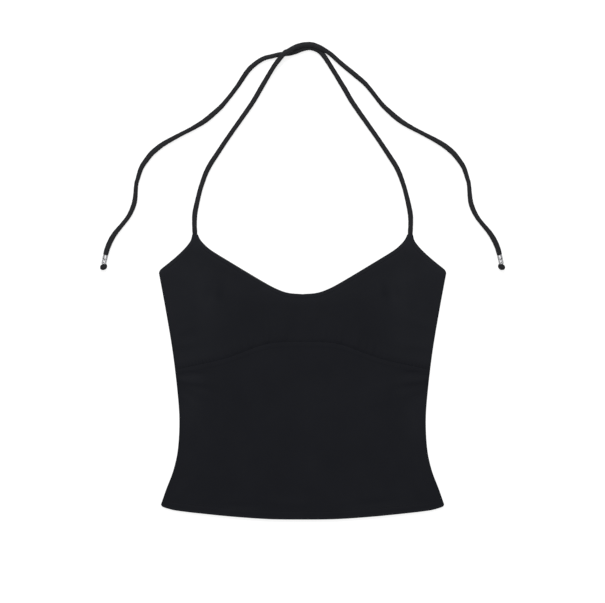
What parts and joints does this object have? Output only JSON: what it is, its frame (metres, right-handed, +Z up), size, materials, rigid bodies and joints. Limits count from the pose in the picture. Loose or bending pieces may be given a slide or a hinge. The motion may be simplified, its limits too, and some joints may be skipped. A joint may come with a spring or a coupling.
{
  "type": "halter neck top",
  "caption": "Black jersey halter neck top laid flat, front up, with a gathered bust panel, a flared hem and long loose round ties that cross above the neck and end in metal beads.",
  "frame": {"origin": "on the surface the top lies on, under the middle of the box of its three panels, the ties left out", "axes": "+Z up, out of the front; +Y from the hem to the neck; +X towards the wearer's left"},
  "size_m": [0.5152, 0.6052, 0.0111],
  "materials": {
    "bust_jersey": "near-black matt jersey, fine vertical wales, soft sheen",
    "midriff_jersey": "near-black matt jersey, fine vertical wales, soft sheen",
    "back_jersey": "near-black matt jersey, fine vertical wales, soft sheen",
    "tie_jersey": "black jersey sewn and turned into a round cord, a little lighter than the panels",
    "bead_metal": "bright silver-coloured metal, darkened in its hollows"
  },
  "bodies": {
    "root": {"front_bust": "bust_jersey", "front_lower": "midriff_jersey", "back": "back_jersey", "strap_left": "tie_jersey", "strap_right": "tie_jersey", "knot_left": "tie_jersey", "knot_right": "tie_jersey", "bead_left": "bead_metal", "bead_right": "bead_metal"}
  },
  "joints": []
}
